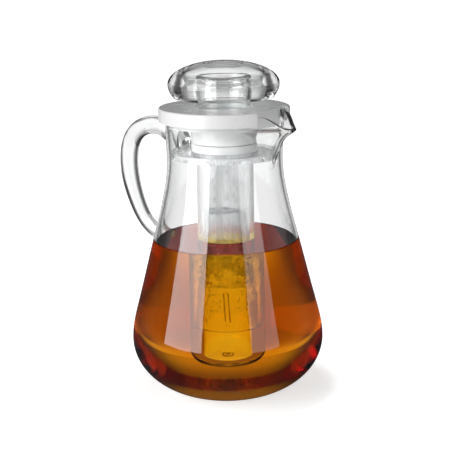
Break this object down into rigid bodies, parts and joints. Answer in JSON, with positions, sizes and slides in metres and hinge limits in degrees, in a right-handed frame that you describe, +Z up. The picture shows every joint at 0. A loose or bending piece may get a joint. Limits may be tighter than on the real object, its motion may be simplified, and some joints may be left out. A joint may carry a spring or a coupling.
{
  "type": "pitcher with ice tube",
  "caption": "Clear bulbous serving pitcher with looped handle, pouring spout, lift-off white lid, strainer disc and screw-in ice tube closed by a clear domed knob.",
  "frame": {"origin": "centre of the flat foot that the pitcher stands on", "axes": "+Z up along the pitcher's axis, +X towards the spout, the handle at -X"},
  "size_m": [0.2035, 0.168, 0.29],
  "materials": {
    "clear_plastic": "clear moulded plastic, polished",
    "white_plastic": "white moulded plastic, glossy",
    "silicone": "soft milky silicone"
  },
  "bodies": {
    "pitcher": {"pitcher_body": "clear_plastic", "handle": "clear_plastic"},
    "lid": {"lid_cover": "white_plastic"},
    "tube_gasket": {"tube_seal": "silicone"},
    "tube": {"ice_tube": "clear_plastic", "strainer_disc": "clear_plastic", "tube_lock_ring": "white_plastic"},
    "knob_gasket": {"knob_seal": "silicone"},
    "knob": {"knob_dome": "clear_plastic", "knob_base": "clear_plastic"}
  },
  "joints": [
    {"name": "lid_lift", "type": "slide", "parent": "pitcher", "child": "lid", "axis": [0, 0, 1], "range_m": [0, 0.24]},
    {"name": "knob_rise", "type": "slide", "parent": "lid", "child": "knob_gasket", "axis": [0, 0, 1], "range_m": [0, 0.007]},
    {"name": "knob_turn", "type": "hinge", "parent": "knob_gasket", "child": "knob", "pos_m": [0, 0, 0.27], "axis": [0, 0, 1], "range_deg": [0, 420]},
    {"name": "tube_drop", "type": "slide", "parent": "lid", "child": "tube_gasket", "axis": [0, 0, -1], "range_m": [0, 0.018]},
    {"name": "tube_turn", "type": "hinge", "parent": "tube_gasket", "child": "tube", "pos_m": [0, 0, 0.13], "axis": [0, 0, -1], "range_deg": [0, 1080]}
  ],
  "couplings": [
    {"joint": "knob_rise", "follows": "knob_turn", "m_per_rad": 0.0009549},
    {"joint": "tube_drop", "follows": "tube_turn", "m_per_rad": 0.0009549}
  ]
}
